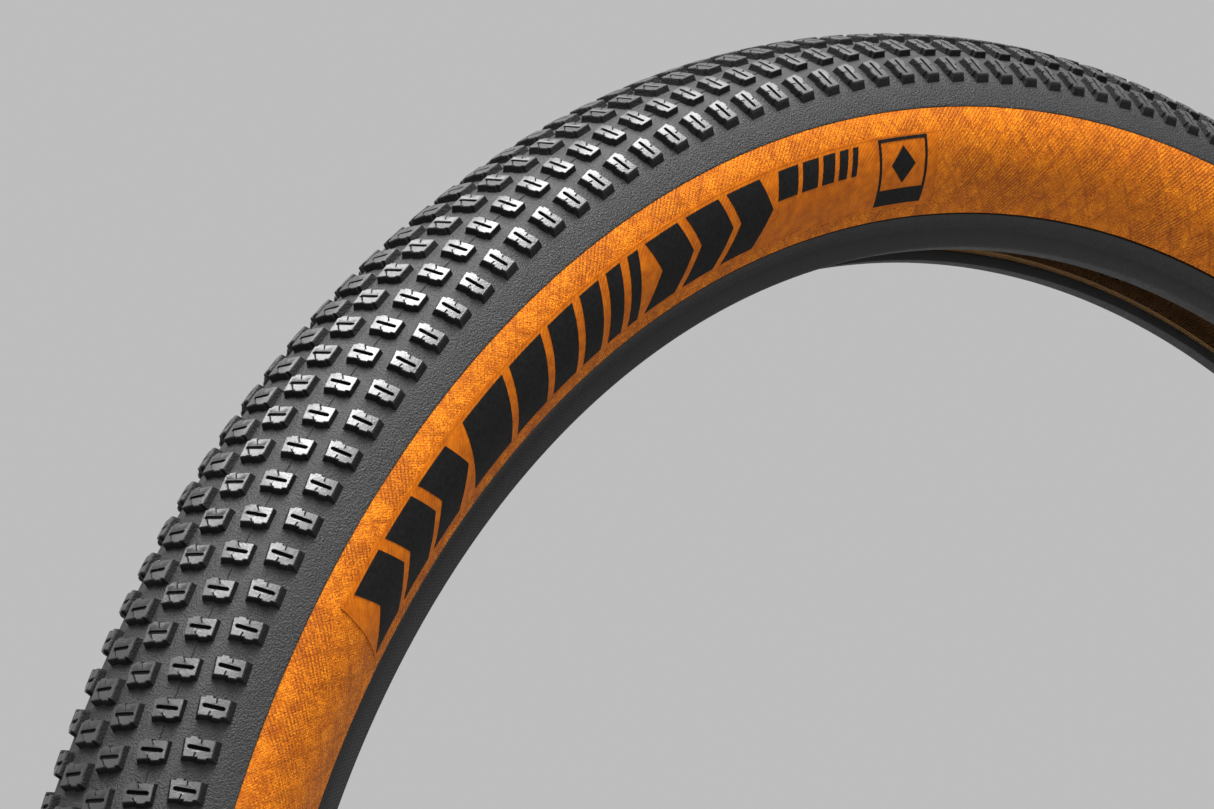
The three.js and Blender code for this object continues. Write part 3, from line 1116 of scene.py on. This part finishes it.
def decal(mesh, loops, low, high, side, spacing=2.0):
    """A thin closed film over shapes drawn in (mm round the wheel, mm down the wall)."""
    dense = [subdivided(loop, spacing) for loop in loops]
    flat, triangles = fill(dense, spacing)
    verts = []
    for proud in (high, low):
        spots = [wall_point(t, proud) for t in flat[:, 1]]
        rho = np.array([s[0] for s in spots])
        phi = side * np.array([s[1] for s in spots])
        verts.append(to_space(flat[:, 0] / MM_PER_DEGREE, rho, phi))
    n = len(flat)
    faces = [tuple(t) for t in triangles] + [tuple(k + n for k in t[::-1]) for t in triangles]
    first = 0
    for number, loop in enumerate(dense):
        count = len(loop)
        is_hole = number > 0
        keep = (signed_area(loop) > 0) != is_hole
        for k in range(count):
            a, b = first + k, first + (k + 1) % count
            quad = (a, a + n, b + n, b)
            faces.append(quad if keep else quad[::-1])
        first += count
    verts = np.vstack(verts)
    faces = facing_out(verts - verts.mean(0), faces)
    uv = np.vstack([flat, flat])
    corner = np.concatenate([np.array(face) for face in faces])
    mesh.add(verts, faces, uv[corner])


def signed_area(loop):
    """The area inside a loop, positive when it runs anticlockwise."""
    p = np.array(loop)
    q = np.roll(p, -1, axis=0)
    return 0.5 * float(np.sum(p[:, 0] * q[:, 1] - q[:, 0] * p[:, 1]))


def subdivided(loop, spacing):
    """The loop with points added about every spacing."""
    result = []
    for k, p in enumerate(loop):
        p, q = np.array(p, float), np.array(loop[(k + 1) % len(loop)], float)
        pieces = max(1, int(np.linalg.norm(q - p) / spacing))
        result.extend([p + (q - p) * m / pieces for m in range(pieces)])
    return result


def box(x0, x1, t0, t1):
    return [(x0, t0), (x1, t0), (x1, t1), (x0, t1)]


# Shapes are drawn s mm along from the end where the print starts, and lean with it.
PRINT_START = 150.3 * MM_PER_DEGREE
PRINT_LEAN = 0.22


def printed(shape):
    """(s, t) from the start of the print, with its lean, to (mm round the wheel, t)."""
    return [(PRINT_START - s - PRINT_LEAN * (LABEL_DROP - t), t) for s, t in shape]


PRINT_TOP = 1.5
PRINT_BOTTOM = 19.4
SMALL_BOTTOM = 9.0


def slab(s, width, bottom=PRINT_BOTTOM):
    return printed([(s, bottom), (s + width, bottom), (s + width, PRINT_TOP), (s, PRINT_TOP)])


def small_slab(s, width):
    return slab(s, width, SMALL_BOTTOM)


def arrow(s, width):
    end = s + width
    middle = (PRINT_TOP + PRINT_BOTTOM) / 2
    lower = [(s, PRINT_BOTTOM), (end, PRINT_BOTTOM), (end + ARROW_REACH, middle)]
    upper = [(end, PRINT_TOP), (s, PRINT_TOP), (s + ARROW_REACH, middle)]
    return printed(lower + upper)


ARROWS = (12.5, 12.5, 12.5)
ARROW_REACH = 5.5
ARROW_GAP = 3.2
TALL_SLABS = (17.0, 13.0, 10.0, 7.5, 5.5, 4.0)
TALL_GAP = 3.0
SMALL_SLABS = (7.5, 6.0, 4.5, 3.2, 2.0)
SMALL_GAP = 1.8
PRINT_MARGIN = 1.0
GAP_BEFORE_TALL = 4.6
GAP_BEFORE_SMALL = 4.0


def print_row(shapes, s, widths, gap, draw):
    """Draws a row of shapes, and returns where the next one would start."""
    for width in widths:
        shapes.append([draw(s, width)])
        s += width + gap
    return s


def print_shapes():
    """Three arrows, narrowing slabs, three arrows again and short narrowing slabs."""
    shapes = []
    s = print_row(shapes, PRINT_MARGIN, ARROWS, ARROW_GAP, arrow)
    s = print_row(shapes, s + GAP_BEFORE_TALL, TALL_SLABS, TALL_GAP, slab)
    s = print_row(shapes, s, ARROWS, ARROW_GAP, arrow)
    print_row(shapes, s + GAP_BEFORE_SMALL, SMALL_SLABS, SMALL_GAP, small_slab)
    return shapes


BADGE_ANGLES = (103.8, 107.4)
BADGE_TOP = 0.9
BADGE_LINE = 0.9
BADGE_FOOT = 4.6        # how thick the badge's frame is at its foot
GEM_RISE = 3.8          # twice the diamond's height over the frame's middle
GEM_HALF_WIDTH = 4.6
GEM_HALF_HEIGHT = 5.0


def badge_shapes():
    """An upright frame with a diamond in it."""
    x0, x1 = (angle * MM_PER_DEGREE for angle in BADGE_ANGLES)
    t0, t1 = BADGE_TOP, PRINT_BOTTOM
    line = BADGE_LINE
    window = box(x0 + line, x1 - line, t0 + line, t1 - BADGE_FOOT)
    centre, middle = (x0 + x1) / 2, (t0 + t1 - GEM_RISE) / 2
    gem = [(centre - GEM_HALF_WIDTH, middle), (centre, middle - GEM_HALF_HEIGHT),
           (centre + GEM_HALF_WIDTH, middle), (centre, middle + GEM_HALF_HEIGHT)]
    return [[box(x0, x1, t0, t1), window], [gem]]


def label(side, name):
    x0, x1 = (angle * MM_PER_DEGREE for angle in LABEL_SPAN)
    film = Mesh()
    decal(film, [box(x0, x1, 0.0, LABEL_DROP)], FILM_LOW, FILM_HIGH, side)
    line = BORDER_WIDTH
    border = [box(x0, x1, 0.0, LABEL_DROP), box(x0 + line, x1 - line, line, LABEL_DROP - line)]
    decal(film, border, FILM_LOW, LINE_HIGH, side)
    build(f"label_film_{name}", film, LABEL_FILM, nodes=[f"label_{name}"])
    ink = Mesh()
    for shape in print_shapes() + badge_shapes():
        decal(ink, shape, INK_LOW, INK_HIGH, side)
    build(f"label_print_{name}", ink, INK)


tread_centre()
hidden_layers()
for side, name in ((-1, "left"), (1, "right")):
    tread_shoulder(side, name)
    side_pieces(side, name)
    label(side, name)

# ---- floor, light and camera ----
FLOOR_Z = -0.3413       # metres, as are all places and sizes from here on
FLOOR_SIZE = 12.0
SURROUND_COLOUR = (0.80, 0.80, 0.80)
SURROUND_STRENGTH = 0.64


def floor():
    half = FLOOR_SIZE / 2
    data = bpy.data.meshes.new("floor")
    corners = [(-half, -half, 0), (half, -half, 0), (half, half, 0), (-half, half, 0)]
    data.from_pydata(corners, [], [(0, 1, 2, 3)])
    f = Finish("floor_paper")
    f.colour(f.ramp(f.noise(60.0), (0.3, 0.46), (0.7, 0.49)))
    f.roughness(f.ramp(f.noise(4.0), (0.3, 0.80), (0.7, 0.90)))
    data.materials.append(f.material)
    piece = bpy.data.objects.new("floor", data)
    piece.location = (0, 0, FLOOR_Z)
    bpy.context.scene.collection.objects.link(piece)


def softbox(name, place, size, watts):
    """A square area light aimed at the arch."""
    data = bpy.data.lights.new(name, "AREA")
    data.shape = "RECTANGLE"
    data.size = size
    data.size_y = size
    data.energy = watts
    lamp = bpy.data.objects.new(name, data)
    heading = (ARCH - place).to_track_quat("-Z", "Y")
    lamp.matrix_world = Matrix.Translation(place) @ heading.to_matrix().to_4x4()
    bpy.context.scene.collection.objects.link(lamp)


CAMERA_PLACE = Vector((-0.79428, -0.70605, 0.03414))
CAMERA_RIGHT = Vector((0.745374, -0.666647, 0.0))
CAMERA_UP = Vector((-0.127407, -0.142453, 0.981567))
CAMERA_AHEAD = Vector((0.654359, 0.731634, 0.191117))
LENS = 113.2
SENSOR = 36.0
ARCH = Vector((-0.209, -0.010, 0.249))  # on the tread, in the middle of the view


def camera():
    data = bpy.data.cameras.new("camera")
    data.lens = LENS
    data.sensor_width = SENSOR
    data.clip_start = 0.01
    data.clip_end = 50.0
    found = bpy.data.objects.new("camera", data)
    turned = Matrix((CAMERA_RIGHT, CAMERA_UP, -CAMERA_AHEAD)).transposed().to_4x4()
    found.matrix_world = Matrix.Translation(CAMERA_PLACE) @ turned
    bpy.context.scene.collection.objects.link(found)
    bpy.context.scene.camera = found


def from_arch(right, up, ahead):
    """A place given from the arch along the camera's own directions."""
    return ARCH + CAMERA_RIGHT * right + CAMERA_UP * up + CAMERA_AHEAD * ahead


def world():
    found = bpy.data.worlds.new("studio")
    found.use_nodes = True
    back = found.node_tree.nodes["Background"]
    back.inputs["Color"].default_value = (*SURROUND_COLOUR, 1.0)
    back.inputs["Strength"].default_value = SURROUND_STRENGTH
    bpy.context.scene.world = found


floor()
camera()
world()
softbox("key", from_arch(0.0, 1.18, -0.30), 0.70, 52.0)
softbox("top", from_arch(0.36, 1.12, 0.16), 0.60, 20.0)
softbox("side", from_arch(-0.62, 0.98, 0.30), 0.60, 14.0)
softbox("front", from_arch(0.10, 0.85, -0.85), 0.60, 10.0)
bpy.context.scene.view_settings.view_transform = "Standard"
